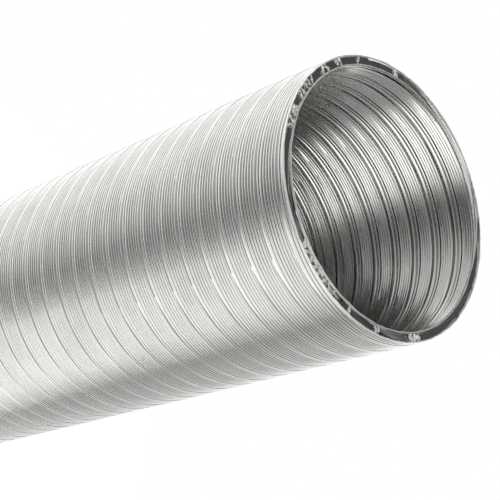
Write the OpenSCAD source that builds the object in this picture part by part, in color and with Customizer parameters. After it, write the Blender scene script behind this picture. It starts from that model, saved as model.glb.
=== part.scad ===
// Semi-rigid flexible air duct: one corrugated aluminium strip wound into a tube, each turn
// hooked to the next along a four-ply lock seam, and the whole pushed together to its short length.
// A node is one lead of the tube, drawn as a closed ring. It starts and ends in the middle of an
// inner fold, where the foil opens, and carries the stiff seam between. It holds two solids, the
// edges of two neighbouring turns, which hook into each other at the seam with a hair's gap.
// The duct stands on its lower end, with its axis on Z and the origin in the middle of that end.

/* [Duct] */
// Bore, which slips over a spigot of the same nominal size
bore_d = 100; // [80:1:160]
// Number of turns in the pushed-together length
turns = 32; // [8:1:60]

/* [Corrugation] */
// Pitch of one fold along the duct, pushed together
fold_pitch = 1.3; // [1.1:0.05:2.6]
// Radial depth of the wall, from the bore to the outside of the crests
wall_depth = 4.2; // [2.5:0.1:7]
// Length of the flat along the top of a fold, at the middle of the foil
crest_land = 0.4; // [0.3:0.05:0.5]
// Folds between the start of a ring and the flat shoulder below its seam
folds_below = 3; // [1:1:5]
// Folds between the seam and the end of a ring
folds_above = 3; // [1:1:5]
// Thickness of the foil
foil_t = 0.15; // [0.1:0.01:0.2]

/* [Lock seam] */
// Gap left between the plies of the seam
ply_gap = 0.06; // [0.03:0.01:0.08]
// Folds' worth of length that the shoulder below the seam takes up
shoulder_folds = 1; // [1:1:2]

/* [Hidden] */
$fn = 96;
alu = [0.78, 0.79, 0.80];
alu_seam = [0.70, 0.71, 0.73];

// Radii of the middle of the foil on the inner and outer flats
r_in = bore_d/2 + foil_t/2;
r_out = bore_d/2 + wall_depth - foil_t/2;

// A ring is its folds, the shoulder, and one more crest that belongs to the seam
folds_per_turn = folds_below + shoulder_folds + 1 + folds_above;
lead = folds_per_turn*fold_pitch;

// Heights within a ring
seam_crest_z = (folds_below + shoulder_folds + 0.5)*fold_pitch;
ply_step = foil_t + ply_gap;
outer_ply_z = seam_crest_z - crest_land/2;
function ply_z(n) = outer_ply_z - (3 - n)*ply_step;

// Where each hook ends, clear of the bend that wraps it
lower_hook_end_r = r_in + foil_t + ply_gap;
upper_hook_end_r = r_out - foil_t - ply_gap;

function turn_name(i) = str("turn_", i < 10 ? "0" : "", i);

// Middle line of n folds as [radius, height] points, starting on an inner flat at height z0
function folds(n, z0) = [
    for (k = [0:n - 1])
        let (z = z0 + k*fold_pitch, mid = z + fold_pitch/2, half = crest_land/2)
            each [[r_in, z + half], [r_out, mid - half], [r_out, mid + half],
                  [r_in, z + fold_pitch - half]]
];

// Lower strip's edge: its folds, the flat shoulder, then a hook over the top of the seam
lower_edge = concat(
    [[r_in, 0]],
    folds(folds_below, 0),
    [[r_in, ply_z(0)], [r_out, ply_z(0)], [r_out, ply_z(2)], [lower_hook_end_r, ply_z(2)]]
);

// Upper strip's edge: a hook under the bottom of the seam, the crest that tops it, then its folds
upper_edge = concat(
    [[upper_hook_end_r, ply_z(1)], [r_in, ply_z(1)], [r_in, ply_z(3)], [r_out, ply_z(3)],
     [r_out, seam_crest_z + crest_land/2],
     [r_in, seam_crest_z + fold_pitch/2 - crest_land/2]],
    folds(folds_above, seam_crest_z + fold_pitch/2),
    [[r_in, lead]]
);

function unit(v) = v/norm(v);
function left(v) = [-v[1], v[0]];

// How far corner i of a line moves so that both its sides shift left by one unit
function mitre(line, i) =
    let (last = len(line) - 1,
         a = left(unit(line[max(i, 1)] - line[max(i, 1) - 1])),
         b = left(unit(line[min(i, last - 1) + 1] - line[min(i, last - 1)])))
    (a + b)/(1 + a*b);

function shifted(line, by) = [for (i = [0:len(line) - 1]) line[i] + by*mitre(line, i)];
function reversed(list) = [for (i = [len(list) - 1:-1:0]) list[i]];

// A strip of foil whose cross-section follows a middle line, closed into a ring
module foil_ring(line) {
    rotate_extrude()
        polygon(concat(shifted(line, foil_t/2), reversed(shifted(line, -foil_t/2))));
}

// One lead of the duct: the hooked edges of two neighbouring turns
module turn(i) {
    translate([0, 0, (i - 1)*lead]) {
        color(alu) foil_ring(lower_edge);
        color(alu_seam) foil_ring(upper_edge);
    }
}

for (i = [1:turns]) turn(i);
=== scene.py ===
import math

import bmesh
import bpy
from mathutils import Matrix, Vector


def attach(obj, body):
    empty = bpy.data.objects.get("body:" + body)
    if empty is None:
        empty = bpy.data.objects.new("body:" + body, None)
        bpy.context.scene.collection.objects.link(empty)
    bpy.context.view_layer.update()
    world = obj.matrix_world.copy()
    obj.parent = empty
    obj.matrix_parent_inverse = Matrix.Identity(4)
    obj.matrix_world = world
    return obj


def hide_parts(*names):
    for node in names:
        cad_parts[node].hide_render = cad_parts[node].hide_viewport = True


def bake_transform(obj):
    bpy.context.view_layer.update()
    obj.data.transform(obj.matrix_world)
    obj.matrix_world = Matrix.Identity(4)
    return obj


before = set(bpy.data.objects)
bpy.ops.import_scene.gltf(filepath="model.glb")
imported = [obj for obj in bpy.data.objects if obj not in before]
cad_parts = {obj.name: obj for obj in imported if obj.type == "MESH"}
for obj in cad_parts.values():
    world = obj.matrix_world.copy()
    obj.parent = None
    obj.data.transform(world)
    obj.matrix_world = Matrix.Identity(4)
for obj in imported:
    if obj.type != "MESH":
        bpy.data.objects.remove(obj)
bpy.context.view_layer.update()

# ---------------------------------------------------------------------------------------
# Camera. The duct stands on its lower end and is looked down on from above its open upper
# end, with the camera rolled so that the duct runs off to the left.
# ---------------------------------------------------------------------------------------
DUCT_LENGTH = 0.3328
OUTER_RADIUS = 0.0542
# Across, forward and above the open end, in outside radii
CAMERA_STAND = (1.7999, -7.796, 6.1482)
CAMERA_RIGHT = (0.16158, 0.70270, 0.69289)
CAMERA_UP = (-0.97387, 0.0, 0.22710)

camera_data = bpy.data.cameras.new("camera")
camera_data.sensor_width = 36.0
camera_data.lens = 108.04
camera_data.clip_start = 0.01
camera = bpy.data.objects.new("camera", camera_data)
bpy.context.scene.collection.objects.link(camera)
camera_place = Vector((0, 0, DUCT_LENGTH)) + OUTER_RADIUS*Vector(CAMERA_STAND)
camera_axes = (CAMERA_RIGHT, CAMERA_UP, Vector(CAMERA_RIGHT).cross(CAMERA_UP))
camera.matrix_world = Matrix.Translation(camera_place) @ Matrix(camera_axes).transposed().to_4x4()
bpy.context.scene.camera = camera


# ---------------------------------------------------------------------------------------
# Studio. A round pale table in a white light tent. Lit and unlit stretches of the tent's walls
# give bright metal its bands, a light hangs in the tent's top, and a black card leans over the
# open end, so that the cut edge shows its dark pockets.
# ---------------------------------------------------------------------------------------
class Wire:
    """A socket in a node tree. Sums written with it lay out their Math nodes."""

    def __init__(self, socket):
        self.socket = socket

    @staticmethod
    def node(tree, kind, settings=None, inputs=None, output=0):
        """Adds a node of any kind: first its settings, then the values or links it takes."""
        made = tree.nodes.new(kind)
        for name, value in (settings or {}).items():
            if name == "stops":
                ramp = made.color_ramp.elements
                while len(ramp) < len(value):
                    ramp.new(0.5)
                for element, (place, shade) in zip(ramp, value):
                    element.position = place
                    element.color = (shade, shade, shade, 1)
            else:
                setattr(made, name, value)
        for name, value in (inputs or {}).items():
            if isinstance(value, Wire):
                tree.links.new(value.socket, made.inputs[name])
            else:
                made.inputs[name].default_value = value
        return Wire(made.outputs[output])

    def to(self, kind, settings=None, inputs=None, output=0):
        return Wire.node(self.socket.id_data, kind, settings, inputs, output)

    def math(self, operation, *values):
        return self.to("ShaderNodeMath", {"operation": operation}, dict(enumerate(values)))

    def __add__(self, other):
        return self.math("ADD", self, other)

    __radd__ = __add__

    def __sub__(self, other):
        return self.math("SUBTRACT", self, other)

    def __rsub__(self, other):
        return self.math("SUBTRACT", other, self)

    def __mul__(self, other):
        return self.math("MULTIPLY", self, other)

    __rmul__ = __mul__

    def __truediv__(self, other):
        return self.math("DIVIDE", self, other)

    def step(self, low, high):
        """0 below low, 1 above high, and smooth between."""
        return self.to("ShaderNodeMapRange", {"interpolation_type": "SMOOTHSTEP"},
                       {0: self, 1: low, 2: high, 3: 0.0, 4: 1.0})

    def axis(self, index):
        return self.to("ShaderNodeSeparateXYZ", None, {0: self}, index)

    def vector(self, operation, *values, output=0):
        return self.to("ShaderNodeVectorMath", {"operation": operation}, dict(enumerate(values)),
                       output)

    def scaled(self, factor):
        """This vector, longer or shorter by a factor."""
        return self.to("ShaderNodeVectorMath", {"operation": "SCALE"}, {0: self, "Scale": factor})


scene = bpy.context.scene
scene.view_settings.view_transform = "Standard"

world = bpy.data.worlds.new("light tent")
scene.world = world
world.use_nodes = True
sky = world.node_tree
sky.nodes.clear()


def backdrop_rays(tree):
    """1 for the rays that look at the background: straight, off metal or through glass."""
    path = tree.nodes.new("ShaderNodeLightPath").outputs
    straight = Wire(path["Is Camera Ray"])
    return straight + Wire(path["Is Glossy Ray"]) + Wire(path["Is Transmission Ray"])


def shown(tree, shader, kind):
    """Wires the last shader of a tree to its output."""
    tree.links.new(shader.socket, tree.nodes.new(kind).inputs["Surface"])


WHITE = (1, 1, 1, 1)
ROOM_LIGHT = 0.6
dim = Wire.node(sky, "ShaderNodeBackground", None, {"Color": WHITE, "Strength": ROOM_LIGHT})
white = Wire.node(sky, "ShaderNodeBackground", None, {"Color": WHITE, "Strength": 1.0})
shown(sky, Wire.node(sky, "ShaderNodeMixShader", None, {0: backdrop_rays(sky), 1: dim, 2: white}),
      "ShaderNodeOutputWorld")

TENT_RADIUS = 2.5
TENT_MIDDLE = 0.2
# Brightness round the tent, from the back by the right, in pairs: the share of the way round
# and the light there
LOW_WALLS = [
    (0.00, 0.58), (0.075, 1.34), (0.10, 1.00), (0.14, 0.74), (0.20, 0.58), (0.262, 0.34),
    (0.272, 0.82), (0.31, 1.12), (0.38, 1.02), (0.42, 0.96), (0.45, 0.86), (0.47, 0.48),
    (0.49, 0.37), (0.535, 0.30), (0.60, 0.82), (0.67, 1.07), (0.735, 1.20), (0.80, 1.25),
    (0.87, 0.90), (0.93, 0.95), (1.00, 0.58),
]
MIDDLE_WALLS = [
    (0.00, 0.24), (0.03, 0.26), (0.07, 0.28), (0.135, 0.16), (0.20, 0.28), (0.262, 0.34),
    (0.29, 0.42), (0.42, 0.42), (0.49, 0.32), (0.535, 0.22), (0.60, 0.40), (0.67, 0.53),
    (0.735, 0.54), (0.80, 0.52), (0.87, 0.38), (0.93, 0.32), (1.00, 0.24),
]
HIGH_WALLS = [
    (0.00, 0.18), (0.13, 0.10), (0.20, 0.08), (0.24, 0.26), (0.255, 0.85), (0.275, 1.42),
    (0.30, 1.55), (0.36, 1.55), (0.40, 1.36), (0.44, 1.34), (0.475, 0.88), (0.50, 0.34),
    (0.53, 0.12), (0.60, 0.09), (0.66, 0.15), (0.72, 0.40), (0.80, 0.46), (0.88, 0.40),
    (0.95, 0.38), (1.00, 0.18),
]
TOP_LIGHT = 1.3
TENT_FLOOR = 0.7
BLACK_CARD = 0.06
# Where each level of the tent gives way to the next, as a share of its radius above its middle
FLOOR_EDGE = (-0.95, -0.84)
MIDDLE_EDGE = (0.10, 0.40)
HIGH_EDGE = (0.56, 0.70)
TOP_EDGE = (0.91, 0.97)
# The card's direction from the middle of the tent, and its soft edge
CARD_AIM = (-0.159, 0.689, 0.707)
CARD_EDGE = (0.945, 0.972)

tent_cloth = bpy.data.materials.new("light tent cloth")
tent_cloth.use_nodes = True
cloth = tent_cloth.node_tree
cloth.nodes.clear()
spot = Wire.node(cloth, "ShaderNodeTexCoord", output="Object")
bearing = spot.math("ARCTAN2", spot.axis(0), spot.axis(1))/math.tau
bearing = bearing.math("FRACT", bearing)
low, middle, high = (
    spot.to("ShaderNodeValToRGB", {"stops": stops}, {0: bearing})
    for stops in (LOW_WALLS, MIDDLE_WALLS, HIGH_WALLS))
height = (spot.axis(2) - TENT_MIDDLE)/TENT_RADIUS
aim = spot.vector("NORMALIZE", spot.vector("SUBTRACT", spot, (0, 0, TENT_MIDDLE)))
carded = spot.vector("DOT_PRODUCT", aim, CARD_AIM, output="Value").step(*CARD_EDGE)
walls = low + height.step(*MIDDLE_EDGE)*(middle - low)
for share, light in ((height.step(*HIGH_EDGE), high), (height.step(*TOP_EDGE), TOP_LIGHT),
                     (1 - height.step(*FLOOR_EDGE), TENT_FLOOR), (carded, BLACK_CARD)):
    walls = walls + share*(light - walls)
shown(cloth, spot.to("ShaderNodeEmission", None, {"Color": walls, "Strength": 1.0}),
      "ShaderNodeOutputMaterial")

tent_mesh = bpy.data.meshes.new("light tent")
work = bmesh.new()
bmesh.ops.create_uvsphere(work, u_segments=96, v_segments=48, radius=TENT_RADIUS,
                          matrix=Matrix.Translation((0, 0, TENT_MIDDLE)))
work.to_mesh(tent_mesh)
work.free()
tent_mesh.materials.append(tent_cloth)
tent = bpy.data.objects.new("light tent", tent_mesh)
scene.collection.objects.link(tent)
tent.visible_camera = False

TABLE_RADIUS = 0.17
TABLE_WHITE = 0.8
table_mesh = bpy.data.meshes.new("round table")
work = bmesh.new()
bmesh.ops.create_circle(work, cap_ends=True, segments=128, radius=TABLE_RADIUS)
work.to_mesh(table_mesh)
work.free()
table = bpy.data.objects.new("round table", table_mesh)
scene.collection.objects.link(table)

table_paint = bpy.data.materials.new("white table")
table_paint.use_nodes = True
paint = table_paint.node_tree
paint.nodes.clear()
matt = Wire.node(paint, "ShaderNodeBsdfDiffuse", None, {"Color": (*(3*[TABLE_WHITE]), 1)})
glow = Wire.node(paint, "ShaderNodeEmission", None, {
    "Color": TABLE_WHITE*backdrop_rays(paint), "Strength": 1.0})
shown(paint, Wire.node(paint, "ShaderNodeAddShader", None, {0: matt, 1: glow}),
      "ShaderNodeOutputMaterial")
table_mesh.materials.append(table_paint)


# ---------------------------------------------------------------------------------------
# Foil. Soft aluminium sheet 0.15 mm thick, satin from the rolls, with the fine lines of
# rolling along the strip, a cloudy sheen and the small knocks of handling.
# ---------------------------------------------------------------------------------------
FOIL = 0.00015


def metal(name):
    """A new, empty material, with its tree and the place that its pieces have at rest."""
    made = bpy.data.materials.new(name)
    made.use_nodes = True
    made.node_tree.nodes.clear()
    return made, made.node_tree, Wire.node(
        made.node_tree, "ShaderNodeAttribute", {"attribute_name": "rest"}, output="Vector")


def noise(where, scale, detail=2.0, roughness=0.5):
    return where.to("ShaderNodeTexNoise", None, {
        "Vector": where, "Scale": scale, "Detail": detail, "Roughness": roughness})


def finished(tree, shade, tone, gloss, relief, strength, depth):
    """Ends a metal's tree: its brightness, tone, roughness and the relief in its surface."""
    red, green, blue = tone
    tint = shade.to("ShaderNodeCombineColor", None, {0: red*shade, 1: green*shade, 2: blue*shade})
    bump = relief.to("ShaderNodeBump", None, {
        "Strength": strength, "Distance": depth, "Height": relief})
    shown(tree, bump.to("ShaderNodeBsdfPrincipled", None, {
        "Base Color": tint, "Metallic": 1.0, "Roughness": gloss, "Normal": bump}),
          "ShaderNodeOutputMaterial")


# How many waves of each mark lie on a metre, along the strip and across it for the rolling
ROLLING_ALONG = 30
ROLLING_ACROSS = 4200
CLOUDS = 55.0
KNOCKS = 420.0
CLOUD_EDGE = (0.35, 0.75)
ROLLED_TONE = (1.0, 0.993, 0.972)

foil, sheet, place = metal("satin rolled foil")
strip_map = Wire.node(sheet, "ShaderNodeUVMap", {"uv_map": "strip"})
along, across = strip_map.axis(0), strip_map.axis(1)
rolling = noise(along.to("ShaderNodeCombineXYZ", None, {
    0: ROLLING_ALONG*along, 1: ROLLING_ACROSS*across}), 1.0)
knocks = noise(place, KNOCKS, roughness=0.55)
dull = noise(place, CLOUDS, detail=4.0, roughness=0.6).step(*CLOUD_EDGE)
finished(sheet, shade=0.84 + 0.06*rolling - 0.05*dull, tone=ROLLED_TONE,
         gloss=0.10 + 0.06*rolling + 0.07*dull, relief=0.5*rolling + knocks,
         strength=0.09, depth=0.00006)


# ---------------------------------------------------------------------------------------
# Torn foil. The same sheet where the snips have torn and bent it: scratched all over, duller,
# and a little brighter where fresh metal is bare.
# ---------------------------------------------------------------------------------------
SCRATCHES = 2600.0
TORN_TONE = (1.0, 0.993, 0.98)

torn_foil, scraps, place = metal("torn foil")
scratches = noise(place, SCRATCHES, roughness=0.6)
finished(scraps, shade=0.90 + 0.06*scratches, tone=TORN_TONE,
         gloss=0.36 + 0.24*scratches, relief=scratches, strength=0.5, depth=0.0001)


# ---------------------------------------------------------------------------------------
# Strip. One foil strip, corrugated lengthwise between rollers and wound into a left-handed
# helix. Its lower edge hooks up over the turn below and its upper edge takes the next hook,
# so that four plies lie on each other in a narrow rib, with a flat shoulder under the rib.
# ---------------------------------------------------------------------------------------
BORE_RADIUS = 0.050
FOLD = 0.0013
LEAD = 8*FOLD
TURNS = 32
STEPS = 96
# The strip's angle on the duct at the first turn, and the turns wound to cut one lead from
START = math.radians(113.6)
WOUND = 2.5
# Foil and the gap to the next ply
PLY = 0.00021
INNER = BORE_RADIUS + FOIL/2
OUTER = OUTER_RADIUS - FOIL/2
# The seam: its rib, the lowest of its plies under the rib, its foot, which stands clear of the
# bore, and the ends of its hooks, which stop short of the rib's outside
RIB_TOP = 4.5*FOLD
RIB_WIDTH = 0.00060
RIB_BEND = 0.00013
UNDER_RIB = 0.0005
PLY_0 = RIB_TOP - UNDER_RIB - 3*PLY
FOOT_CLEAR = 0.00060
SEAM_FOOT = INNER + FOOT_CLEAR
FOOT_BEND = 0.00014
HOOK_SHORT = 0.0011
HOOK_TOP = OUTER - PLY - HOOK_SHORT
CREST, VALLEY = 1, -1
# No bend is drawn coarser than this
ARC_STEP = math.radians(30)
# Points closer than this are one point: in a wound mesh, on a cut, and after it
TOUCHING = 1e-6
ON_CUT = 1e-7
SHARED = 1e-8
# The rollers of the folds, in order up the wall: how many folds below the rib's top, the bend,
# whether the foil goes round it as a crest or a valley, and how far it is sunk from that side
FOLDS = [
    (7.90, 0.00010, VALLEY, 0.0), (7.62, 0.00010, VALLEY, 0.0003),
    (7.43, 0.00034, CREST, 0.00018), (7.10, 0.00040, CREST, 0.00012),
    (6.90, 0.00006, VALLEY, 0.0001), (6.20, 0.00010, VALLEY, 0.00095),
    (6.06, 0.00046, CREST, 0.0001), (6.00, 0.00006, VALLEY, 0.0),
    (5.30, 0.00010, VALLEY, 0.00085), (4.98, 0.00046, CREST, 0.0001),
    (5.10, 0.00006, VALLEY, 0.0), (4.40, 0.00010, VALLEY, 0.00085),
    (3.90, 0.00046, CREST, 0.0001), (4.20, 0.00006, VALLEY, 0.0),
    (3.50, 0.00010, VALLEY, 0.00085), (2.82, 0.00046, CREST, 0.0001),
    (3.30, 0.00006, VALLEY, 0.0), (2.90, 0.00010, VALLEY, 0.0004),
    (1.74, 0.00042, CREST, 0.0001), (1.04, 0.00012, CREST, 0.00080),
    (1.50, 0.00008, VALLEY, 0.0),
]


def strip_rollers():
    """The rollers that shape the strip, from its lower hook up to its upper one, in the plane
    of the wall: radius, height, radius of the bend, and crest or valley."""
    low_1 = PLY_0 + PLY - LEAD
    low_3 = low_1 + 2*PLY
    path = [(HOOK_TOP, low_1, 0.0, CREST),
            (SEAM_FOOT + PLY, low_1 + PLY, PLY, VALLEY),
            (OUTER - RIB_BEND, low_3 + RIB_BEND, RIB_BEND, CREST),
            (OUTER - RIB_BEND, low_3 + RIB_WIDTH - RIB_BEND, RIB_BEND, CREST)]
    for below, bend, side, sunk in FOLDS:
        radius = OUTER - sunk - bend if side == CREST else INNER + sunk + bend
        path.append((radius, RIB_TOP - below*FOLD, bend, side))
    path += [(SEAM_FOOT + FOOT_BEND, PLY_0 - FOOT_BEND, FOOT_BEND, VALLEY),
             (HOOK_TOP, PLY_0 + PLY, PLY, CREST),
             (SEAM_FOOT + PLY, PLY_0 + 2*PLY, 0.0, CREST)]
    return path


def foil_line(path, flank_steps):
    """The foil's middle line round the rollers, as points with the normal to their left."""
    tangents = []
    for (ax, ay, ar, aside), (bx, by, br, bside) in zip(path, path[1:]):
        gap = Vector((bx - ax, by - ay))
        share = (bside*br - aside*ar)/gap.length
        e = gap.normalized()
        normal = share*e + math.sqrt(1 - share*share)*Vector((-e.y, e.x))
        tangents.append((Vector((ax, ay)) - aside*ar*normal,
                         Vector((bx, by)) - bside*br*normal, normal))
    line = []
    for i, (start, end, normal) in enumerate(tangents):
        for k in range(flank_steps):
            line.append((start.lerp(end, k/flank_steps), normal))
        line.append((end, normal))
        if i + 1 < len(tangents):
            cx, cy, bend, side = path[i + 1]
            after = tangents[i + 1][2]
            swing = math.atan2(after.y, after.x) - math.atan2(normal.y, normal.x)
            turn = side*(swing*side % math.tau)
            parts = max(2, math.ceil(abs(turn)/ARC_STEP))
            for k in range(1, parts):
                n = normal.copy()
                n.rotate(Matrix.Rotation(turn*k/parts, 2))
                line.append((Vector((cx, cy)) - side*bend*n, n))
    return line


def foil_section(flank_steps):
    """The closed outline of the foil: up one skin and back down the other."""
    line = foil_line(strip_rollers(), flank_steps)
    right = [point - normal*FOIL/2 for point, normal in line]
    left = [point + normal*FOIL/2 for point, normal in line]
    outline = left + right[::-1]
    outline.append(outline[0])
    walked, points = 0.0, []
    for i, point in enumerate(outline):
        walked += (point - outline[i - 1]).length if i else 0.0
        points.append((point.x, walked, point.y))
    return points


def node_tree(name, sockets):
    """A Geometry Nodes tree with these inputs, and a Geometry output."""
    tree = bpy.data.node_groups.new(name, "GeometryNodeTree")
    for label, kind in sockets:
        tree.interface.new_socket(label, in_out="INPUT", socket_type=kind)
    tree.interface.new_socket("Geometry", in_out="OUTPUT", socket_type="NodeSocketGeometry")
    given = tree.nodes.new("NodeGroupInput")
    return tree, {label: Wire(given.outputs[label]) for label, kind in sockets}


def stored(geometry, name, kind, domain, value):
    return geometry.to("GeometryNodeStoreNamedAttribute", {"data_type": kind, "domain": domain}, {
        "Geometry": geometry, "Name": name, "Value": value})


def ended(tree, geometry, material):
    """Ends a Geometry Nodes tree: the geometry made real, and of this material."""
    real = geometry.to("GeometryNodeRealizeInstances", None, {"Geometry": geometry})
    done = geometry.to("GeometryNodeSetMaterial", None, {"Geometry": real, "Material": material})
    tree.links.new(done.socket, tree.nodes.new("NodeGroupOutput").inputs[0])


def worked(name, mesh, tree, values):
    """The plain mesh that the tree makes of a mesh."""
    maker = bpy.data.objects.new(name, mesh)
    scene.collection.objects.link(maker)
    modifier = maker.modifiers.new(tree.name, "NODES")
    modifier.node_group = tree
    for item in tree.interface.items_tree:
        if item.in_out == "INPUT" and item.name in values:
            modifier[item.identifier] = values[item.name]
    ready = maker.evaluated_get(bpy.context.evaluated_depsgraph_get())
    made = bpy.data.meshes.new_from_object(ready)
    bpy.data.objects.remove(maker)
    made.name = name
    return made


winding, given = node_tree("wind the strip", [
    ("Geometry", "NodeSocketGeometry"), ("Lead", "NodeSocketFloat"), ("Turns", "NodeSocketFloat"),
    ("Steps in a turn", "NodeSocketInt"), ("Start angle", "NodeSocketFloat"),
    ("Foil", "NodeSocketMaterial")])
section = given["Geometry"]
count = section.to("GeometryNodeAttributeDomainSize", {"component": "MESH"}, {
    "Geometry": section}, "Point Count")
steps = given["Turns"]*given["Steps in a turn"]
blank = section.to("GeometryNodeMeshGrid", None, {
    "Size X": 1.0, "Size Y": 1.0, "Vertices X": steps + 1, "Vertices Y": count}, "Mesh")
grid_place = section.to("GeometryNodeInputPosition")
turned = grid_place.axis(0)*given["Turns"]
corner = (grid_place.axis(1) + 0.5)*(count - 1)
corner = corner.math("ROUND", corner)
edge = section.to("GeometryNodeSampleIndex", {"data_type": "FLOAT_VECTOR", "domain": "POINT"}, {
    "Geometry": section, "Value": section.to("GeometryNodeInputPosition"), "Index": corner})
angle = turned*math.tau + given["Start angle"]
radius = edge.axis(0)
spot = section.to("ShaderNodeCombineXYZ", None, {
    0: radius*angle.math("SINE", angle), 1: radius*angle.math("COSINE", angle),
    2: edge.axis(2) + given["Lead"]*turned})
strip_uv = section.to("ShaderNodeCombineXYZ", None, {
    0: turned*(math.tau*BORE_RADIUS), 1: edge.axis(1)})
mapped = stored(blank, "strip", "FLOAT2", "CORNER", strip_uv)
bent = section.to("GeometryNodeSetPosition", None, {"Geometry": mapped, "Position": spot})
closed = section.to("GeometryNodeMergeByDistance", None, {"Geometry": bent, "Distance": TOUCHING})
ended(winding, closed, given["Foil"])


def one_lead(name, low, high, flank_steps=1):
    """The wound wall between two heights about the middle of a lead, its cut faces closed."""
    outline = bpy.data.meshes.new("section")
    outline.from_pydata(foil_section(flank_steps), [], [])
    wound = worked(name, outline, winding, {
        "Lead": LEAD, "Turns": WOUND, "Steps in a turn": STEPS, "Start angle": START,
        "Foil": foil})
    work = bmesh.new()
    work.from_mesh(wound)
    for face in work.faces:
        face.smooth = True
    for z, side in ((low, -1), (high, 1)):
        cut = bmesh.ops.bisect_plane(
            work, geom=work.verts[:] + work.edges[:] + work.faces[:], dist=ON_CUT,
            plane_co=(0, 0, z), plane_no=(0, 0, side), clear_outer=True)
        rim = [item for item in cut["geom_cut"] if isinstance(item, bmesh.types.BMEdge)]
        lid = bmesh.ops.triangle_fill(work, edges=rim, use_beauty=True, normal=(0, 0, side))
        for item in lid["geom"]:
            if isinstance(item, bmesh.types.BMFace):
                item.smooth = False
                for rim_edge in item.edges:
                    rim_edge.smooth = False
    bmesh.ops.remove_doubles(work, verts=work.verts, dist=SHARED)
    work.to_mesh(wound)
    work.free()
    return wound


# ---------------------------------------------------------------------------------------
# Turns. Each lead runs from one stiff rib to the next.
# Nothing in it is dead round: the foil wavers a little from the rollers and from the hands.
# ---------------------------------------------------------------------------------------
DENT = 0.00022
SWAY = 0.00025
# Each end is held level over this height, and the cut crumples the foil this far below it
HELD = 0.002
CRUMPLED = 0.0016
# Waves of each waver on a metre
SLOW_WAVES = 26.0
QUICK_WAVES = 110.0
CRUSH_WAVES = 230.0

settling, given = node_tree("settle the foil", [
    ("Geometry", "NodeSocketGeometry"), ("Lift", "NodeSocketFloat"), ("Dent", "NodeSocketFloat"),
    ("Sway", "NodeSocketFloat"), ("Crumple", "NodeSocketFloat"), ("Foil", "NodeSocketMaterial")])
wall = given["Geometry"]
here = wall.to("GeometryNodeInputPosition")
lifted = here.vector("ADD", here, wall.to("ShaderNodeCombineXYZ", None, {2: given["Lift"]}))
rest = stored(wall, "rest", "FLOAT_VECTOR", "POINT", lifted)
outward = lifted.vector("NORMALIZE", lifted.vector("MULTIPLY", lifted, (1, 1, 0)))


def drift(where, scale, stretch=(1, 1, 1)):
    """A smooth random vector, -0.5 to 0.5 each way, that is the same for both pieces at a cut."""
    spread = where.vector("MULTIPLY", where, stretch)
    wander = where.to("ShaderNodeTexNoise", None, {
        "Vector": spread, "Scale": scale, "Detail": 1.0}, "Color")
    return where.vector("SUBTRACT", wander, (0.5, 0.5, 0.5))


slow = drift(lifted, SLOW_WAVES, (1, 1, 1.6))
quick = drift(lifted, QUICK_WAVES, (1, 1, 5))
crush = drift(lifted, CRUSH_WAVES)
level = lifted.axis(2)
held = level.step(0.0, HELD)*(1 - level.step(DUCT_LENGTH - HELD, DUCT_LENGTH))
near_cut = level.step(DUCT_LENGTH - CRUMPLED, DUCT_LENGTH)*given["Crumple"]
inward = (given["Dent"]*(slow.axis(0) + 0.5*quick.axis(0) - 0.55)
          + near_cut*(1.2*crush.axis(2) - 0.25))
upward = (given["Sway"]*held*(slow.axis(1) + 0.8*quick.axis(1))
          - near_cut*crush.math("ABSOLUTE", crush.axis(0))*1.2)
raised = lifted.to("ShaderNodeCombineXYZ", None, {2: upward})
settled = lifted.vector("ADD", lifted.vector("ADD", lifted, outward.scaled(inward)), raised)
moved = wall.to("GeometryNodeSetPosition", None, {"Geometry": rest, "Position": settled})
ended(settling, moved, given["Foil"])


def settle(name, mesh, number, crumple=0.0, metal_used=foil):
    """A piece of the wall, lifted to its place with its waver."""
    made = worked(name, mesh, settling, {
        "Lift": number*LEAD, "Dent": DENT, "Sway": SWAY, "Crumple": crumple, "Foil": metal_used})
    piece = bpy.data.objects.new(name, made)
    scene.collection.objects.link(piece)
    return piece


lower_half = settle("lower_end", one_lead("lower_end", 0.0, LEAD/2), 0)
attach(lower_half, "hoop_01")
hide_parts("turn_01")

whole_lead = one_lead("lead", -LEAD/2, LEAD/2)
for number in range(1, TURNS):
    piece = settle(f"lead_{number:02d}", whole_lead, number)
    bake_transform(piece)
    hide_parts(f"turn_{number:02d}", f"turn_{number + 1:02d}")


# ---------------------------------------------------------------------------------------
# Cut end. The duct is cut to length with snips, across its folds, so the end shows the foil on
# edge, with dark pockets between the folds. The foil is crumpled just below the cut.
# ---------------------------------------------------------------------------------------
# The wall itself stops this far below the cut, and its bent-over edge fills the rest
BURR = 0.0005
CUT_STEPS = 6
CUT_CRUMPLE = 0.0004
LAST_HOOP = f"hoop_{TURNS:02d}"

upper_half = settle("upper_end", one_lead("upper_end", -LEAD/2, -BURR, CUT_STEPS), TURNS,
                    CUT_CRUMPLE)
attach(upper_half, LAST_HOOP)
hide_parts(f"turn_{TURNS:02d}")


# ---------------------------------------------------------------------------------------
# Webs. Where the snips passed from fold to fold they left flaps of the strip's own edge, bent
# down flat across the pockets. Each is a torn bit of foil, still joined to the folds.
# ---------------------------------------------------------------------------------------
# Where the webs lie, in degrees round the duct
WEBS = [
    86.5, 88, 89.5, 91.5, 111, 112.5, 128, 138, 141, 144.5, 148, 150.5, 154, 157, 160, 208, 211,
    214.5, 217, 224, 226, 229.5, 232, 234.5, 243.5, 246, 253, 255.5, 267, 290, 322,
]
WEB_CIRCLE = 0.0522
WEB_DEPTH = 0.0042
WEB_WIDTH = 0.0014
WEB_CRUMPLE = 0.0024
WEB_TOP = DUCT_LENGTH - 0.00015
KINKS = 1000.0
WEB_POINTS = (14, 5)
# How far a web may roll, tip, and turn off the duct's radius, in radians
ROLL, TIP, ASKEW = 0.9, 0.3, 0.8
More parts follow.
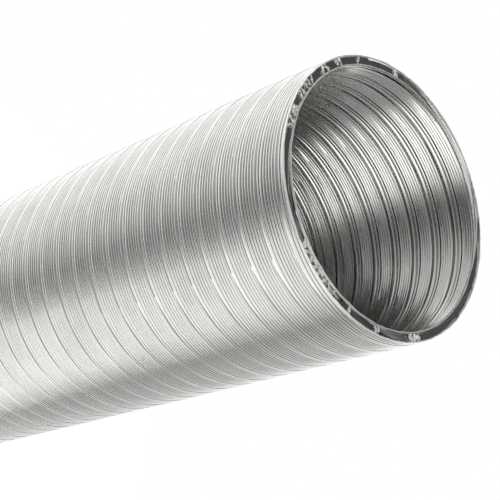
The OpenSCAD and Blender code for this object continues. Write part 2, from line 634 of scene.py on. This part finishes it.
# The least and the most of its depth and width that a web keeps
TRIMMED_DEPTH = (0.75, 1.0)
TRIMMED_WIDTH = (0.3, 1.3)
# The share of a web's own height by which it hangs below the cut
HANGING = 0.9
# The webs keep this far inside the wall's two skins
CLEAR_INSIDE = 0.0001
CLEAR_OUTSIDE = 0.0004

webbing, given = node_tree("webs bent over by the cut", [
    ("Geometry", "NodeSocketGeometry"), ("Depth", "NodeSocketFloat"), ("Width", "NodeSocketFloat"),
    ("Crumple", "NodeSocketFloat"), ("Level", "NodeSocketFloat"), ("Foil", "NodeSocketMaterial")])
marks = given["Geometry"]
web = marks.to("GeometryNodeMeshGrid", None, {
    "Size X": given["Depth"], "Size Y": given["Width"],
    "Vertices X": WEB_POINTS[0], "Vertices Y": WEB_POINTS[1]}, "Mesh")
here = marks.to("GeometryNodeInputPosition")
facing = here.math("ARCTAN2", here.axis(1), here.axis(0))


def chance(low, high, seed):
    return marks.to("FunctionNodeRandomValue", {"data_type": "FLOAT"}, {
        "Min": low, "Max": high, "Seed": seed}, 1)


turned = marks.to("ShaderNodeCombineXYZ", None, {
    0: chance(-ROLL, ROLL, 3), 1: chance(-TIP, TIP, 4), 2: facing + chance(-ASKEW, ASKEW, 5)})
trimmed = marks.to("ShaderNodeCombineXYZ", None, {
    0: chance(*TRIMMED_DEPTH, 7), 1: chance(*TRIMMED_WIDTH, 6), 2: 1.0})
laid = marks.to("GeometryNodeInstanceOnPoints", None, {
    "Points": marks.to("GeometryNodeMeshToPoints", None, {"Mesh": marks}), "Instance": web,
    "Rotation": turned, "Scale": trimmed})
laid = marks.to("GeometryNodeRealizeInstances", None, {"Geometry": laid})
strayed = here.vector("ADD", here, drift(here, KINKS).scaled(given["Crumple"]))
reach = here.vector("LENGTH", here.vector("MULTIPLY", strayed, (1, 1, 0)), output="Value")
held_in = reach.math("MAXIMUM", reach, BORE_RADIUS + CLEAR_INSIDE)
held_in = reach.math("MINIMUM", held_in, OUTER_RADIUS - CLEAR_OUTSIDE)
strayed = here.vector("MULTIPLY", strayed, here.to("ShaderNodeCombineXYZ", None, {
    0: held_in/reach, 1: held_in/reach, 2: 1.0}))
sunk = here.to("ShaderNodeCombineXYZ", None, {
    2: given["Level"] - HANGING*reach.math("ABSOLUTE", strayed.axis(2))})
flattened = here.vector("ADD", here.vector("MULTIPLY", strayed, (1, 1, 0)), sunk)
laid = marks.to("GeometryNodeSetPosition", None, {"Geometry": laid, "Position": flattened})
thick = marks.to("GeometryNodeExtrudeMesh", {"mode": "FACES"}, {
    "Mesh": laid, "Offset Scale": FOIL, "Individual": False})
joined = marks.to("GeometryNodeJoinGeometry")
for part in (thick, marks.to("GeometryNodeFlipFaces", None, {"Mesh": laid})):
    webbing.links.new(part.socket, joined.socket.node.inputs[0])
webs = marks.to("GeometryNodeMergeByDistance", None, {"Geometry": joined, "Distance": TOUCHING})
webs = stored(webs, "strip", "FLOAT2", "CORNER", here)
webs = stored(webs, "rest", "FLOAT_VECTOR", "POINT", here)
ended(webbing, webs, given["Foil"])


def round_duct(turn, radius):
    return radius*math.sin(math.radians(turn)), radius*math.cos(math.radians(turn))


marks_mesh = bpy.data.meshes.new("web marks")
marks_mesh.from_pydata([(*round_duct(turn, WEB_CIRCLE), 0) for turn in WEBS], [], [])
web_mesh = worked("cut_webs", marks_mesh, webbing, {
    "Depth": WEB_DEPTH, "Width": WEB_WIDTH, "Crumple": WEB_CRUMPLE, "Level": WEB_TOP,
    "Foil": torn_foil})
cut_webs = bpy.data.objects.new("cut_webs", web_mesh)
scene.collection.objects.link(cut_webs)
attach(cut_webs, LAST_HOOP)


# ---------------------------------------------------------------------------------------
# Lips. The cut leaves a narrow rolled burr along the innermost and the outermost fold, made of
# the strip's own edge and scratched bright, which closes the end into two thin rings.
# ---------------------------------------------------------------------------------------
# The bead's radius, the depth of its skirt, and how far its middle lies inside the wall's skins
LIP_BEAD = 0.00022
LIP_SKIRT = 0.0009
LIP_STEPS = 720
LIP_CRUMPLE = 0.0005
INNER_SET = 0.00028
OUTER_SET = 0.00034
LIPS = (("cut_inner_lip", BORE_RADIUS + INNER_SET), ("cut_outer_lip", OUTER_RADIUS - OUTER_SET))

for name, crease in LIPS:
    corners = []
    for turn in range(0, 181, 30):
        rise, back = round_duct(turn, LIP_BEAD)
        corners.append((crease - back, rise - LIP_BEAD))
    corners += [(crease + LIP_BEAD, -LIP_SKIRT), (crease - LIP_BEAD, -LIP_SKIRT), corners[0]]
    section_line = bpy.data.meshes.new("lip")
    section_line.from_pydata([(r, k*FOIL, z) for k, (r, z) in enumerate(corners)], [], [])
    ring = worked(name, section_line, winding, {
        "Lead": 0.0, "Turns": 1.0, "Steps in a turn": LIP_STEPS, "Start angle": 0.0,
        "Foil": torn_foil})
    lip = settle(name, ring, TURNS, LIP_CRUMPLE, torn_foil)
    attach(lip, LAST_HOOP)
